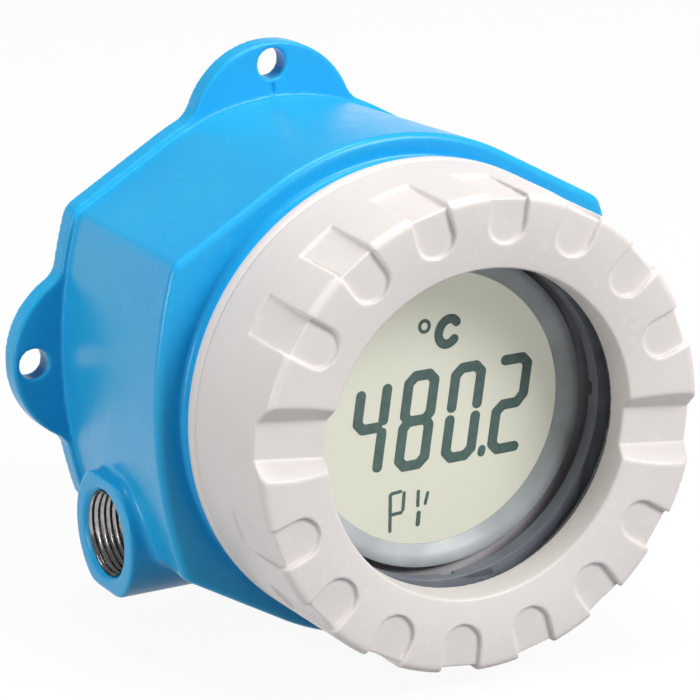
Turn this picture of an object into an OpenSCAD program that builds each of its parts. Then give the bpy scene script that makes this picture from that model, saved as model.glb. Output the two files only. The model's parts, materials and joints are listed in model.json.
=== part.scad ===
// Wall-mounted field temperature transmitter: a die-cast housing with two cable entries, a screw-on
// cover with a glass window, and a round display on its electronics inside.
// The origin is the centre of the flat wall face. +Z is up and the window looks along -Y.

/* [Cover] */
// Outer radius of the cover at its rear edge
cover_r = 55; // [50:0.5:62]
// Length of the cover along its axis
cover_depth = 36; // [36:0.5:42]
// Loss of radius from the rear edge to the front shoulder
cover_taper = 0.4; // [0:0.1:0.8]
// Rounding of the front shoulder
shoulder_r = 2; // [1:0.25:2.5]
// Width of the flat front face
face_w = 12.3; // [11:0.1:14]
// Depth of that slope at the window's edge
face_drop = 1.4; // [0.8:0.1:1.8]
// Width of the slope between the flat face and the window's edge
face_slope_w = 5.1; // [4:0.1:6]
// Loss of radius from the window's edge down to the glass's lip
window_draft = 0.4; // [0:0.1:1]
// Depth of the window's wall from its edge to the glass's lip
window_deep = 7; // [5:0.25:8]
// Distance of the thin groove from the cover's rear edge
rim_groove_at = 3.6; // [3.4:0.1:5]
// Depth and half width of the thin groove
rim_groove = 0.45; // [0.2:0.05:0.6]

/* [Grip pockets] */
// Number of grip pockets on each half of the cover
pockets_per_half = 7; // [3:2:7]
// Angle between neighbouring grip pockets
pocket_pitch = 21.2; // [19:0.1:22]
// Half width of a pocket
pocket_half_w = 4.7; // [3:0.1:5.5]
// Depth of a pocket in the side wall
pocket_side_depth = 1.6; // [0.8:0.1:2]
// Depth of a pocket in the front face
pocket_face_depth = 1.3; // [0.6:0.1:1.8]
// Width of the flat land between the pockets and the face's slope
pocket_land_w = 0.6; // [0.4:0.1:4]
// Distance of a pocket's start from the cover's rear edge
pocket_start = 17.5; // [8:0.5:20]
// Width of the two key notches at the front face
notch_top_w = 16.5; // [14:0.25:18]
// Width of the key notches at their floor
notch_floor_w = 8.5; // [6:0.25:12]
// Depth of the key notches
notch_depth = 4.2; // [2:0.1:4.6]
// Angle at which the tightened cover's pattern stands
cover_turn = -7.5; // [-45:0.5:45]

/* [Housing] */
// Length of the housing from the wall face to its front face
housing_depth = 64.2; // [62:0.5:72]
// Length of the smooth neck between the front face and the cover
neck_len = 5.8; // [4:0.2:8]
// Step from the cover's outside down to the neck
neck_step = 1.8; // [1.7:0.1:2.4]
// Length of the screwed collar inside the cover
collar_len = 11; // [9:0.5:11.5]
// Distance that the body's top and bottom stand out past the cover
body_step = 3.8; // [2.6:0.1:5]
// Distance that its two sides stand out past that
side_step = 0.9; // [0.4:0.1:2]
// Radius of the bulge of the two side walls
body_side_r = 122.8; // [100:1:200]
// Rounding of the four ridges of the body
body_ridge_r = 4; // [2.5:0.25:6]
// Rounding of the body's front edge
front_edge_r = 1.6; // [1:0.1:2]
// Size of the body's back end as a share of its front end
back_share = 0.935; // [0.92:0.005:0.97]
// Thickness of the housing's floor at the wall
floor_t = 7; // [6:0.25:8]
// Wall of the collar round the room inside the housing
collar_wall = 4.5; // [3.5:0.1:5.5]

/* [Flange] */
// Thickness of the wall flange and its two lugs
flange_t = 5.5; // [4:0.25:6]
// Width of the flange's step round the body
flange_step = 1.6; // [1:0.1:3]
// Radius of the two lugs
lug_r = 21.2; // [19:0.2:24]
// Fillet between a lug and the flange's edge
lug_fillet = 6; // [3:0.5:10]
// Distance of a lug's centre inside the body's top
lug_set = 11.4; // [9:0.2:13]
// Radius of the lug holes
lug_hole_r = 3.7; // [3:0.1:3.9]
// Distance of a lug's hole outside the lug's centre
lug_hole_out = 16; // [15.6:0.1:16.4]

/* [Cable entries] */
// Distance that the entry bosses stand out past the sides
boss_step = 0.3; // [0.3:0.1:4]
// Distance of the entry axes inside the room's wall
boss_inset = 12.2; // [11.4:0.2:14]
// Distance of the entry axes from the wall
boss_out = 33.4; // [31:0.2:36]
// Radius of the entry bosses
boss_r = 15.3; // [14.5:0.1:16]
// Half distance between the flats of a boss
boss_flat = 13.6; // [12.5:0.1:14.4]
// Core radius of the metric 20 by 1.5 entry thread
entry_r = 9.25; // [8:0.05:10]
// Length of the entry thread with its lead-in
entry_len = 18; // [16:0.5:20]
// Depth and widening of the lead-in
entry_lead = 1.1; // [0.5:0.1:1.5]
// Radius of the throat from the thread to the room
throat_r = 7.6; // [6:0.1:7.9]

/* [Blind plug] */
// Length of the plug's stem in the entry
plug_len = 14; // [10:0.5:15]
// Radius of the plug's flange
plug_flange_r = 13; // [12.5:0.1:14]
// Thickness of the plug's flange
plug_flange_t = 2.5; // [1.5:0.1:4]
// Width across the flats of the plug's hexagon
plug_hex = 22; // [18:0.5:22]
// Height of the plug's hexagon
plug_hex_h = 7; // [4:0.5:10]
// Thickness of the plug's flat seal
plug_seal_t = 1.5; // [1:0.1:3]

/* [Window parts] */
// Thickness of the window glass
glass_t = 5.6; // [4.6:0.2:6]
// Thickness of the lip in front of the glass
lip_t = 0.9; // [0.6:0.1:1.2]
// Width of the glass behind the window's lip
glass_overlap = 3.4; // [2.6:0.1:4]
// Thickness of the flat window seal
window_seal_t = 0.6; // [0.4:0.1:1]
// Height of the screwed ring that clamps the glass
clamp_h = 4; // [3:0.2:5]
// Width of the clamp ring's screwed edge beyond the glass
clamp_edge = 1.6; // [1.2:0.1:2]
// Half width of the four spanner slots in the clamp ring
clamp_slot = 1.5; // [1:0.1:2.5]
// Thickness of the rubber ring between neck and cover
o_ring_t = 2.4; // [2:0.1:2.4]

/* [Display] */
// Distance of the display's visible face behind the cover's front face
lcd_deep = 24; // [23.5:0.25:26]
// Margin between the window and the visible display face
lcd_margin = 5.6; // [5:0.2:8]
// Height of the sloped edge round the display face
bezel_rise = 2.2; // [1.5:0.1:2.6]
// Width of the bezel round the display face
bezel_w = 4.9; // [4.2:0.1:6]
// Wall of the display's bezel
bezel_wall = 2; // [1.5:0.1:2.5]
// Thickness of the display's glass cell
lcd_t = 2.1; // [1.5:0.1:3]
// Thickness of the light sheet behind the cell
light_t = 0.6; // [0.4:0.1:1]
// Height of the rubber contact strips
strip_h = 3.4; // [2:0.1:4]
// Distance of a strip's ends from the cell's edge
strip_short = 1.4; // [1:0.2:10]
// Distance of the contact strips inside the edge of the display face
strip_inset = 4.6; // [4:0.2:9]
// Width of the contact strips
strip_w = 2.4; // [1.5:0.1:3]
// Thickness of the circuit boards
board_t = 1.6; // [1:0.1:2]
// Height of the ring that carries the display's board
back_ring_h = 2; // [1.5:0.1:3]
// Thickness of the display's back plate
back_t = 1.4; // [1:0.1:2]
// Radius of the hollow hub on which the display turns
hub_r = 9; // [7:0.25:12]
// Wall of the hub
hub_wall = 2; // [1.5:0.1:2.5]
// Thickness of the spring clip that holds the hub
clip_t = 1.2; // [0.8:0.1:1.5]
// Thickness of the plate that carries the display
carrier_t = 4.2; // [3.6:0.1:5]
// Gap between that plate and the room's wall
carrier_gap = 2; // [1:0.25:3]
// Radius of its two cable holes
carrier_hole_r = 5; // [3:0.25:6]

/* [Electronics] */
// Gap between the electronics case and the room's wall
case_gap = 3; // [2:0.25:5]
// Gap between the case's straight edge and the cable entries' throats
case_clear = 6.2; // [5:0.2:9]
// Distance of the case from the wall
case_out = 18; // [14:0.5:20]
// Room for terminals and wires between the case's lid and the display's carrier
wire_space = 20.4; // [18:0.4:24]
// Wall of the case
case_wall = 2; // [1.5:0.1:2.5]
// Thickness of the case's lid
lid_t = 2; // [1.5:0.1:3]
// Height of the main board above the case's floor
board_rise = 10; // [6:0.5:12]
// Radius of the screws that hold the case
case_screw_r = 1.9; // [1.5:0.05:2.2]
// Sideways distance of those screws inside the case's edge
case_screw_inset = 9; // [8:0.5:11]
// Distance of those screws above the axis
case_screw_y = 10; // [6:0.5:14]
// Radius of the display's spacers
spacer_r = 3; // [2:0.1:3.4]

/* [Terminals] */
// Number of terminals
terminals = 6; // [3:1:6]
// Gap between the terminal block's ends and the display's spacers
terminal_clear = 6.2; // [4:0.2:8]
// Depth of the terminal block from its wire side to its back
terminal_w = 13; // [11.5:0.25:14]
// Height of the terminal block on the lid
terminal_h = 12; // [10:0.25:13]
// Width of a terminal's metal cage
cage_w = 5.6; // [5:0.1:6]
// Height of a terminal's metal cage
cage_h = 6; // [5:0.1:6.5]
// Radius of a terminal screw's head
terminal_head_r = 2.4; // [2:0.1:2.6]

/* [Ground terminals] */
// Radius of the inner ground screw
inner_ground_r = 1.9; // [1.5:0.05:2.4]
// Distance of the inner ground screw inside the room's wall
inner_ground_inset = 9; // [8:0.25:11]
// Radius of the outer ground screw
outer_ground_r = 2.4; // [2:0.05:2.6]
// Distance of the outer ground screw above the axis
outer_ground_up = 9; // [5:0.5:12]
// Distance of the outer ground screw from the wall
outer_ground_out = 33; // [26:0.5:40]
// Distance that the outer ground pad stands out past the side
ground_pad_step = 0.9; // [0.6:0.1:3]
// Thickness of a ground clamp
ground_clamp_t = 1.6; // [1:0.1:2.5]

/* [Fits] */
// Gap between pieces that screw or slide on each other
run_gap = 0.3; // [0.2:0.05:0.4]
// Gap round pieces that sit in a seat and at turning pins
seat_gap = 0.1; // [0.05:0.01:0.15]

/* [Hidden] */

// Overrun of every cut beyond the face it opens
over = 1;
// Thickness of the slices that the body is hulled from
slice_t = flange_t / 100;
// Smoothness of the outlines
ridge_steps = 6;
arc_steps = 16;
edge_steps = 4;
$fn = 96;
hex_sides = 6;

// Planes counted from the wall face
cover_z = housing_depth + neck_len;
front_z = cover_z + cover_depth;
neck_z = cover_z - run_gap;
collar_z = cover_z + collar_len;
lip_z = front_z - face_drop - window_deep;
seat_z = lip_z - lip_t;
glass_z = seat_z - window_seal_t;
clamp_z = glass_z - glass_t;
lcd_z = front_z - lcd_deep;
board_z = lcd_z - lcd_t - light_t - strip_h;
back_z = board_z - board_t - back_ring_h - back_t;
carrier_z = back_z - run_gap - carrier_t;
lid_top = carrier_z - wire_space;
lid_z = lid_top - lid_t;
case_h = lid_z - case_out;
main_board_z = case_out + case_wall + board_rise;

// Radii that follow from their neighbours
face_flat_r = cover_r - face_w;
window_edge_r = face_flat_r - face_slope_w;
window_r = window_edge_r - window_draft;
pocket_end_r = face_flat_r + pocket_land_w;
neck_r = cover_r - neck_step;
collar_r = neck_r - o_ring_t - 2 * seat_gap - seat_gap;
room_r = collar_r - collar_wall;
body_flat = cover_r + body_step;
body_side_x = body_flat + side_step;
lug_centre = body_flat - lug_set;
lug_hole_at = lug_centre + lug_hole_out;
boss_x = body_side_x + boss_step;
boss_low = room_r - boss_inset;
thread_bore_r = collar_r + run_gap;
seal_bore_r = collar_r + o_ring_t + 2 * seat_gap;
glass_r = window_r + glass_overlap;
clamp_r = glass_r + clamp_edge;
clamp_inner_r = window_r + run_gap;
lcd_r = window_r - lcd_margin;
bezel_r = lcd_r + bezel_w;
cell_r = bezel_r - bezel_wall;
strip_at = lcd_r - strip_inset;
strip_len = 2 * sqrt(pow(cell_r - seat_gap, 2) - pow(strip_at + strip_w / 2, 2)) - strip_short;
carrier_r = room_r - carrier_gap;
entry_wall_x = boss_x - entry_len;
case_r = room_r - case_gap;
case_low = boss_low - throat_r - case_clear;
case_screw_x = case_r - case_screw_inset;
inner_ground_low = room_r - inner_ground_inset;
outer_ground_x = body_side_x + ground_pad_step;
post_r = case_screw_r * 2.2;
screw_head_r = case_screw_r * 1.9;
screw_head_h = case_screw_r * 1.3;
case_post_places = [[case_screw_x, case_screw_y], [-case_screw_x, case_screw_y]];
carrier_screw_r = spacer_r / 2;
carrier_head_r = spacer_r * 0.9;
spacer_low = case_low - spacer_r * 3;
spacer_far = sqrt(pow(case_r - case_wall - spacer_r, 2) - pow(spacer_low, 2));
spacer_angle = 54;
spacer_reach = case_r - case_wall - spacer_r;
spacer_places = [[spacer_far, -spacer_low], [-spacer_far, -spacer_low],
    [spacer_reach * cos(spacer_angle), spacer_reach * sin(spacer_angle)],
    [-spacer_reach * cos(spacer_angle), spacer_reach * sin(spacer_angle)]];
carrier_hole_at = (hub_r + spacer_far) / 2;
terminals_w = 2 * (spacer_far - spacer_r - terminal_clear);
terminal_pitch = (terminals_w - cage_w / 2) / terminals;
terminal_y = -case_low + run_gap;

// Places and sizes of the board's components as shares of the case's radius, heights of the room above
chip_shares = [[-0.4, 0.2, 0.3, 0.3, 0.8], [0, 0.4, 0.3, 0.2, 0.2], [0.1, -0.1, 0.2, 0.2, 0.2],
    [-0.1, 0.65, 0.4, 0.1, 0.5]];
capacitor_shares = [[-0.36, -0.12, 0.07, 0.7], [-0.18, -0.12, 0.07, 0.7], [0, -0.12, 0.07, 0.7]];

// Where a ridge's rounding meets the bulged side wall
side_off = body_side_r - body_side_x;
flat_angle = 60;
ridge_angle = flat_angle - acos((body_flat - body_ridge_r + side_off * cos(flat_angle))
    / (body_side_r - body_ridge_r));
ridge_x = (body_side_r - body_ridge_r) * cos(ridge_angle) - side_off;
ridge_y = (body_side_r - body_ridge_r) * sin(ridge_angle);

function arc(cx, cy, r, a0, a1, steps) =
    [for (i = [0 : steps]) let (a = a0 + (a1 - a0) * i / steps) [cx + r * cos(a), cy + r * sin(a)]];

// Outline of the body, grown on all sides
function body_outline(grow) = concat(
    arc(-side_off, 0, body_side_r + grow, -ridge_angle, ridge_angle, arc_steps),
    arc(ridge_x, ridge_y, body_ridge_r + grow, ridge_angle, flat_angle, ridge_steps),
    arc(0, 0, body_flat + grow, flat_angle, 180 - flat_angle, arc_steps),
    arc(-ridge_x, ridge_y, body_ridge_r + grow, 180 - flat_angle, 180 - ridge_angle, ridge_steps),
    arc(side_off, 0, body_side_r + grow, 180 - ridge_angle, 180 + ridge_angle, arc_steps),
    arc(-ridge_x, -ridge_y, body_ridge_r + grow, 180 + ridge_angle, 180 + flat_angle, ridge_steps),
    arc(0, 0, body_flat + grow, 180 + flat_angle, 360 - flat_angle, arc_steps),
    arc(ridge_x, -ridge_y, body_ridge_r + grow, 360 - flat_angle, 360 - ridge_angle, ridge_steps));

// Turns a piece drawn up from the wall so that it stands out along -Y
module from_wall(z = 0) {
    rotate([90, 0, 0]) translate([0, 0, z]) children();
}

// A flat ring
module ring(outer, inner, h) {
    difference() {
        cylinder(r = outer, h = h);
        translate([0, 0, -over]) cylinder(r = inner, h = h + 2 * over);
    }
}

// A disc with its lower part cut straight
module cut_disc(r, low, h) {
    intersection() {
        cylinder(r = r, h = h);
        translate([-r - over, -low, -over]) cube([2 * r + 2 * over, low + r + over, h + 2 * over]);
    }
}

// The screw or stem points along -X or +X from the face at x
module sideways(x, up, out) {
    translate([x, up, out]) rotate([0, 90, 0]) children();
}

// A pan-head screw with a driver slot; its head stands on z = 0 and its shank points down
module screw(r, len, head_r, head_h) {
    translate([0, 0, -len]) cylinder(r = r, h = len + head_h * 0.3);
    difference() {
        union() {
            cylinder(r = head_r, h = head_h * 0.6);
            translate([0, 0, head_h * 0.6]) cylinder(r1 = head_r, r2 = head_r * 0.8, h = head_h * 0.4);
        }
        translate([-head_r - over, -head_r * 0.14, head_h * 0.5])
            cube([2 * head_r + 2 * over, head_r * 0.28, head_h]);
    }
}

// A thin slice of the body that ends at z
module body_slice(z, grow) {
    translate([0, 0, z - slice_t]) linear_extrude(slice_t) polygon(body_outline(grow));
}

// The drafted body with its rounded front edge
module body_block() {
    hull() {
        linear_extrude(slice_t) scale(back_share) polygon(body_outline(0));
        for (i = [0 : edge_steps])
            let (a = 90 * i / edge_steps)
                body_slice(housing_depth - front_edge_r * (1 - sin(a)), -front_edge_r * (1 - cos(a)));
    }
}

// The wall flange with its top and left lugs, which run into its edge with fillets
module flange_plate() {
    linear_extrude(flange_t) offset(r = -lug_fillet) offset(delta = lug_fillet) {
        scale(back_share) polygon(body_outline(flange_step / back_share));
        translate([0, lug_centre]) circle(r = lug_r);
        translate([-lug_centre, 0]) circle(r = lug_r);
    }
}

// One entry boss from the middle of the body to its face
module boss(side) {
    translate([0, -boss_low, boss_out]) rotate([0, side * 90, 0]) intersection() {
        cylinder(r = boss_r, h = boss_x);
        translate([-boss_r - over, -boss_flat, 0]) cube([2 * boss_r + 2 * over, 2 * boss_flat, boss_x]);
    }
}

// The threaded bore of one entry with its lead-in and throat
module entry_bore(side) {
    translate([0, -boss_low, boss_out]) rotate([0, side * 90, 0]) {
        translate([0, 0, entry_wall_x]) cylinder(r = entry_r, h = entry_len + over);
        translate([0, 0, boss_x - entry_lead])
            cylinder(r1 = entry_r, r2 = entry_r + entry_lead + over, h = entry_lead + over);
        cylinder(r = throat_r, h = boss_x);
    }
}

module housing() {
    color("#2f96d6") from_wall() difference() {
        union() {
            difference() {
                union() {
                    flange_plate();
                    body_block();
                    for (side = [-1, 1]) boss(side);
                    cylinder(r = neck_r, h = neck_z);
                    cylinder(r = collar_r, h = collar_z);
                    sideways(0, outer_ground_up, outer_ground_out)
                        cylinder(r = outer_ground_r * 3.2, h = outer_ground_x);
                }
                translate([0, 0, floor_t]) cylinder(r = room_r, h = collar_z);
            }
            for (p = case_post_places) translate(p) cylinder(r = post_r, h = case_out);
            translate([0, -inner_ground_low, 0]) cylinder(r = inner_ground_r * 2.6, h = floor_t * 2);
        }
        for (side = [-1, 1]) entry_bore(side);
        for (p = case_post_places)
            translate([p[0], p[1], floor_t]) cylinder(r = case_screw_r + seat_gap, h = case_out);
        translate([0, -inner_ground_low, floor_t])
            cylinder(r = inner_ground_r + seat_gap, h = floor_t + over);
        sideways(outer_ground_x - floor_t * 1.4, outer_ground_up, outer_ground_out)
            cylinder(r = outer_ground_r + seat_gap, h = floor_t * 1.4 + over);
        translate([0, lug_hole_at, -over]) cylinder(r = lug_hole_r, h = flange_t + 2 * over);
        translate([-lug_hole_at, 0, -over]) cylinder(r = lug_hole_r, h = flange_t + 2 * over);
    }
}

// Half section of the cover, from its rear edge to its front face
module cover_section() {
    shoulder_x = cover_r - cover_taper - shoulder_r;
    polygon(concat(
        [[seal_bore_r, 0], [cover_r, 0],
         [cover_r, rim_groove_at - rim_groove], [cover_r - rim_groove, rim_groove_at],
         [cover_r, rim_groove_at + rim_groove]],
        arc(shoulder_x, cover_depth - shoulder_r, shoulder_r, 0, 90, edge_steps * 2),
        [[face_flat_r, cover_depth], [window_edge_r, cover_depth - face_drop],
         [window_r, lip_z - cover_z], [window_r, seat_z - cover_z],
         [glass_r + run_gap, seat_z - cover_z],
         [glass_r + run_gap, clamp_z - cover_z], [clamp_r + run_gap, clamp_z - cover_z],
         [clamp_r + run_gap, clamp_z - clamp_h - cover_z], [thread_bore_r, clamp_z - clamp_h - over - cover_z],
         [thread_bore_r, o_ring_t + run_gap], [seal_bore_r, o_ring_t + run_gap]]));
}

// One grip pocket, along +X
module pocket() {
    translate([cover_r - pocket_side_depth, -pocket_half_w, pocket_start])
        cube([pocket_side_depth + over, 2 * pocket_half_w, cover_depth]);
    translate([pocket_end_r + pocket_half_w, 0, cover_depth - pocket_face_depth]) {
        cylinder(r = pocket_half_w, h = pocket_face_depth + over);
        translate([0, -pocket_half_w, 0])
            cube([cover_r - pocket_end_r, 2 * pocket_half_w, pocket_face_depth + over]);
    }
}

// One key notch, along +X
module notch() {
    lean = (notch_top_w - notch_floor_w) / 2 * over / notch_depth;
    translate([0, 0, cover_depth]) rotate([90, 0, 90]) linear_extrude(cover_r + over)
        polygon([[-notch_floor_w / 2, -notch_depth], [notch_floor_w / 2, -notch_depth],
            [notch_top_w / 2 + lean, over], [-notch_top_w / 2 - lean, over]]);
}

module cover() {
    half = (pockets_per_half - 1) / 2;
    color("#dcd8d5") from_wall(cover_z) rotate([0, 0, cover_turn]) difference() {
        rotate_extrude() cover_section();
        for (side = [90, 270], k = [-half : half])
            rotate([0, 0, side + k * pocket_pitch]) pocket();
        for (side = [0, 180]) rotate([0, 0, side]) notch();
    }
}

module cover_o_ring() {
    r = o_ring_t / 2;
    color("#1c1d1f") from_wall(neck_z + seat_gap + r)
        rotate_extrude() translate([collar_r + seat_gap + r, 0]) circle(r = r, $fn = 32);
}

module window_glass() {
    color("#dfe9e6", 0.35) from_wall(clamp_z) cylinder(r = glass_r, h = glass_t);
}

module window_seal() {
    color("#141616") from_wall(glass_z) ring(glass_r, clamp_inner_r, window_seal_t);
}

module window_clamp_ring() {
    color("#303336") from_wall(clamp_z - clamp_h) difference() {
        ring(clamp_r, clamp_inner_r, clamp_h);
        for (a = [0, 90]) rotate([0, 0, a])
            translate([-clamp_r - over, -clamp_slot, -over])
                cube([2 * clamp_r + 2 * over, 2 * clamp_slot, clamp_slot + over]);
    }
}

// Ring with a sloped inner edge that frames the display, over a cup for the cell and its board
module display_bezel() {
    cup = lcd_z - back_z - back_t;
    color("#8a9296") from_wall(back_z + back_t) rotate_extrude()
        polygon([[bezel_r, 0], [bezel_r, cup + bezel_rise], [bezel_r - bezel_wall, cup + bezel_rise],
            [lcd_r, cup + seat_gap], [lcd_r, cup], [cell_r, cup], [cell_r, 0]]);
}

module display_glass() {
    color("#cfcfc0") from_wall(lcd_z - lcd_t) cylinder(r = cell_r - seat_gap, h = lcd_t);
}

module display_light_sheet() {
    color("#f2f2ec") from_wall(lcd_z - lcd_t - light_t) cylinder(r = cell_r - seat_gap, h = light_t);
}

module display_contact_strips() {
    color("#e08a9a") from_wall(board_z) for (y = [-strip_at, strip_at])
        translate([-strip_len / 2, y - strip_w / 2, 0]) cube([strip_len, strip_w, strip_h]);
}

module display_board() {
    color("#2d6b45") from_wall(board_z - board_t) cylinder(r = cell_r - seat_gap, h = board_t);
}

module display_back() {
    color("#3b3f42") from_wall() {
        translate([0, 0, back_z]) ring(bezel_r, hub_r - hub_wall, back_t);
        translate([0, 0, back_z + back_t])
            ring(cell_r - seat_gap, cell_r - seat_gap - bezel_wall, back_ring_h);
        difference() {
            translate([0, 0, carrier_z - run_gap - 2 * clip_t])
                ring(hub_r, hub_r - hub_wall, carrier_t + 2 * run_gap + 2 * clip_t + back_t / 2);
            translate([0, 0, carrier_z - run_gap - clip_t]) ring(hub_r + over, hub_r - hub_wall / 2, clip_t);
        }
    }
}

module display_hub_clip() {
    color("#b9bcc0") from_wall(carrier_z - run_gap - clip_t) difference() {
        ring(hub_r + hub_wall, hub_r - hub_wall / 2 + seat_gap, clip_t);
        translate([0, -hub_wall, -over]) cube([hub_r + hub_wall + over, 2 * hub_wall, clip_t + 2 * over]);
    }
}

module display_carrier() {
    color("#4a4f52") from_wall(carrier_z) difference() {
        cut_disc(carrier_r, case_low, carrier_t);
        translate([0, 0, -over]) cylinder(r = hub_r + seat_gap, h = carrier_t + 2 * over);
        for (p = spacer_places) translate(p) {
            translate([0, 0, -over]) cylinder(r = carrier_screw_r + seat_gap, h = carrier_t + 2 * over);
            translate([0, 0, carrier_t / 2]) cylinder(r = carrier_head_r + seat_gap, h = carrier_t);
        }
        for (side = [-1, 1]) translate([side * carrier_hole_at, 0, -over])
            cylinder(r = carrier_hole_r, h = carrier_t + 2 * over);
    }
}

module carrier_screws() {
    color("#c6c8cb") from_wall(carrier_z + carrier_t / 2) for (p = spacer_places)
        translate(p) screw(carrier_screw_r, carrier_t * 1.4, carrier_head_r, carrier_t * 0.45);
}

module display_spacers() {
    color("#b98f3f") from_wall(lid_top) for (p = spacer_places)
        translate(p) difference() {
            cylinder(r = spacer_r, h = carrier_z - lid_top, $fn = hex_sides);
            translate([0, 0, carrier_z - lid_top - carrier_t])
                cylinder(r = carrier_screw_r + seat_gap, h = carrier_t + over);
        }
}

module electronics_case() {
    color("#26292b") from_wall(case_out) difference() {
        union() {
            difference() {
                cut_disc(case_r, case_low, case_h);
                translate([0, 0, case_wall])
                    cut_disc(case_r - case_wall, case_low - case_wall, case_h);
            }
            for (p = case_post_places) translate(p) cylinder(r = post_r, h = case_h);
            for (p = spacer_places) translate(p)
                cylinder(r = spacer_r + case_wall / 2, h = case_wall + board_rise);
        }
        for (p = case_post_places)
            translate([p[0], p[1], -over]) cylinder(r = case_screw_r + seat_gap, h = case_h + 2 * over);
    }
}

module main_board() {
    inset = case_wall + run_gap;
    color("#1f6a3f") from_wall(main_board_z) difference() {
        cut_disc(case_r - inset, case_low - inset, board_t);
        for (p = case_post_places)
            translate([p[0], p[1], -over]) cylinder(r = post_r + run_gap, h = board_t + 2 * over);
    }
}

// Components on the main board: a transformer, chips and capacitors
module board_parts() {
    room = lid_z - main_board_z - board_t;
    color("#303030") from_wall(main_board_z + board_t) {
        for (b = chip_shares)
            translate([b[0] * case_r, b[1] * case_r, 0]) cube([b[2] * case_r, b[3] * case_r, b[4] * room]);
        for (c = capacitor_shares) translate([c[0] * case_r, c[1] * case_r, 0])
            cylinder(r = c[2] * case_r, h = c[3] * room, $fn = 32);
    }
}

module case_lid() {
    color("#35393c") from_wall(lid_z) difference() {
        cut_disc(case_r, case_low, lid_t);
        for (p = case_post_places)
            translate([p[0], p[1], -over]) cylinder(r = case_screw_r + seat_gap, h = lid_t + 2 * over);
    }
}

module case_screws() {
    color("#c6c8cb") from_wall(lid_top) for (p = case_post_places)
        translate(p) screw(case_screw_r, lid_top - floor_t - over, screw_head_r, screw_head_h);
}

// Places of the terminals along the block
function terminal_x(k) = (k - (terminals - 1) / 2) * terminal_pitch;

module terminal_block() {
    color("#3f7f5a") from_wall(lid_top) difference() {
        translate([-terminals_w / 2, terminal_y, 0]) cube([terminals_w, terminal_w, terminal_h]);
        for (k = [0 : terminals - 1]) translate([terminal_x(k), terminal_y, 0]) {
            translate([-cage_w / 2 - seat_gap, -over, terminal_h - cage_h * 1.6 - seat_gap])
                cube([cage_w + 2 * seat_gap, terminal_w * 0.7 + over, cage_h + 2 * seat_gap]);
            translate([0, terminal_w * 0.35, terminal_h / 2])
                cylinder(r = terminal_head_r + seat_gap, h = terminal_h, $fn = 48);
        }
    }
}

module terminal_cages() {
    wall = cage_w * 0.14;
    color("#c9ccd0") from_wall(lid_top) for (k = [0 : terminals - 1])
        translate([terminal_x(k), terminal_y, terminal_h - cage_h * 1.6]) difference() {
            translate([-cage_w / 2, 0, 0]) cube([cage_w, terminal_w * 0.68, cage_h]);
            translate([-cage_w / 2 + wall, -over, wall])
                cube([cage_w - 2 * wall, terminal_w * 0.68 + 2 * over, cage_h - 2 * wall]);
            translate([0, terminal_w * 0.35, cage_h / 2])
                cylinder(r = terminal_head_r * 0.6 + seat_gap, h = cage_h, $fn = 48);
        }
}

module terminal_screws() {
    head_h = terminal_head_r * 0.8;
    color("#d4d6d8") from_wall(lid_top + terminal_h - cage_h * 0.6) for (k = [0 : terminals - 1])
        translate([terminal_x(k), terminal_y + terminal_w * 0.35, seat_gap]) difference() {
            union() {
                cylinder(r = terminal_head_r, h = head_h, $fn = 48);
                translate([0, 0, -cage_h * 0.4]) cylinder(r = terminal_head_r * 0.6, h = cage_h * 0.4, $fn = 48);
            }
            translate([-terminal_head_r - over, -terminal_head_r * 0.16, head_h * 0.5])
                cube([2 * terminal_head_r + 2 * over, terminal_head_r * 0.32, head_h]);
        }
}

module inner_ground_clamp() {
    w = inner_ground_r * 4.6;
    color("#c9ccd0") from_wall(2 * floor_t) translate([0, -inner_ground_low, 0]) difference() {
        translate([-w / 2, -w / 2, 0]) cube([w, w, ground_clamp_t]);
        translate([0, 0, -over]) cylinder(r = inner_ground_r + seat_gap, h = ground_clamp_t + 2 * over);
    }
}

module inner_ground_screw() {
    color("#c6c8cb") from_wall(2 * floor_t + ground_clamp_t) translate([0, -inner_ground_low, 0])
        screw(inner_ground_r, floor_t + ground_clamp_t - over, inner_ground_r * 1.9, inner_ground_r * 1.3);
}

// Square clamp with two turned-down cheeks that keep the wire in place
module outer_ground_clamp() {
    w = outer_ground_r * 4.6;
    cheek = ground_clamp_t * 0.8;
    color("#c9ccd0") from_wall() sideways(outer_ground_x, outer_ground_up, outer_ground_out) difference() {
        union() {
            translate([-w / 2, -w / 2, cheek]) cube([w, w, ground_clamp_t]);
            for (y = [-w / 2, w / 2 - cheek])
                translate([-w / 2, y, seat_gap]) cube([w, cheek, cheek + ground_clamp_t / 2]);
        }
        translate([0, 0, -over]) cylinder(r = outer_ground_r + seat_gap, h = 2 * ground_clamp_t + 2 * over);
    }
}

module outer_ground_screw() {
    stack = ground_clamp_t * 1.8;
    color("#c6c8cb") from_wall() sideways(outer_ground_x + stack + seat_gap, outer_ground_up, outer_ground_out)
        screw(outer_ground_r, stack + floor_t * 1.2, outer_ground_r * 1.9, outer_ground_r * 1.3);
}

module blind_plug() {
    color("#9aa0a4") from_wall() sideways(boss_x + seat_gap + plug_seal_t + seat_gap, -boss_low, boss_out) {
        cylinder(r = plug_flange_r, h = plug_flange_t);
        translate([0, 0, plug_flange_t]) cylinder(r = plug_hex / 2 / cos(30), h = plug_hex_h, $fn = hex_sides);
        translate([0, 0, -plug_len]) cylinder(r = entry_r - seat_gap, h = plug_len);
    }
}

module blind_plug_seal() {
    color("#1c1d1f") from_wall() sideways(boss_x + seat_gap, -boss_low, boss_out)
        ring(plug_flange_r - seat_gap, entry_r + seat_gap, plug_seal_t);
}

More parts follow.
